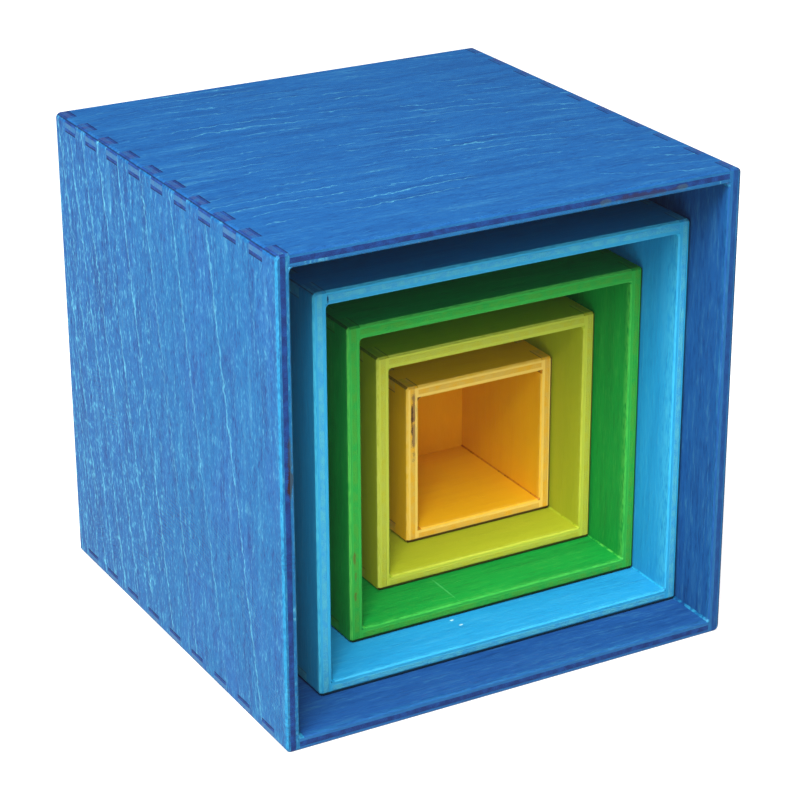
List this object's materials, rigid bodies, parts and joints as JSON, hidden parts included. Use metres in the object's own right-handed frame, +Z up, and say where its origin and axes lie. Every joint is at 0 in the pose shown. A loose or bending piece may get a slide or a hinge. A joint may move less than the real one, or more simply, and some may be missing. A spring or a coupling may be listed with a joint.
{
  "type": "nesting toy boxes",
  "caption": "Nesting cube boxes of stained plywood with finger-jointed walls, lying on their side; each box slides out of the next larger one.",
  "frame": {"origin": "on the ground, under the middle of the largest box", "axes": "+Z up, the mouths face -Y, +Y towards the bases, +X to the right seen from the mouths"},
  "size_m": [0.18, 0.18, 0.18],
  "materials": {
    "dark_blue_stain": "satin, stained through, grain visible",
    "light_blue_stain": "satin, stained through, grain visible",
    "green_stain": "satin, stained through, grain visible",
    "lime_stain": "satin, stained through, grain visible",
    "yellow_stain": "satin, stained through, grain visible"
  },
  "bodies": {
    "dark_blue_box": {"dark_blue_left_wall": "dark_blue_stain", "dark_blue_right_wall": "dark_blue_stain", "dark_blue_top_wall": "dark_blue_stain", "dark_blue_floor_wall": "dark_blue_stain", "dark_blue_base_panel": "dark_blue_stain"},
    "light_blue_box": {"light_blue_left_wall": "light_blue_stain", "light_blue_right_wall": "light_blue_stain", "light_blue_top_wall": "light_blue_stain", "light_blue_floor_wall": "light_blue_stain", "light_blue_base_panel": "light_blue_stain"},
    "green_box": {"green_left_wall": "green_stain", "green_right_wall": "green_stain", "green_top_wall": "green_stain", "green_floor_wall": "green_stain", "green_base_panel": "green_stain"},
    "lime_box": {"lime_left_wall": "lime_stain", "lime_right_wall": "lime_stain", "lime_top_wall": "lime_stain", "lime_floor_wall": "lime_stain", "lime_base_panel": "lime_stain"},
    "yellow_box": {"yellow_left_wall": "yellow_stain", "yellow_right_wall": "yellow_stain", "yellow_top_wall": "yellow_stain", "yellow_floor_wall": "yellow_stain", "yellow_base_panel": "yellow_stain"}
  },
  "joints": [
    {"name": "light_blue_slide", "type": "slide", "parent": "dark_blue_box", "child": "light_blue_box", "axis": [0, -1, 0], "range_m": [-0.003, 0.172]},
    {"name": "green_slide", "type": "slide", "parent": "light_blue_box", "child": "green_box", "axis": [0, -1, 0], "range_m": [-0.003, 0.143]},
    {"name": "lime_slide", "type": "slide", "parent": "green_box", "child": "lime_box", "axis": [0, -1, 0], "range_m": [-0.0015, 0.1155]},
    {"name": "yellow_slide", "type": "slide", "parent": "lime_box", "child": "yellow_box", "axis": [0, -1, 0], "range_m": [-0.0035, 0.0845]}
  ]
}
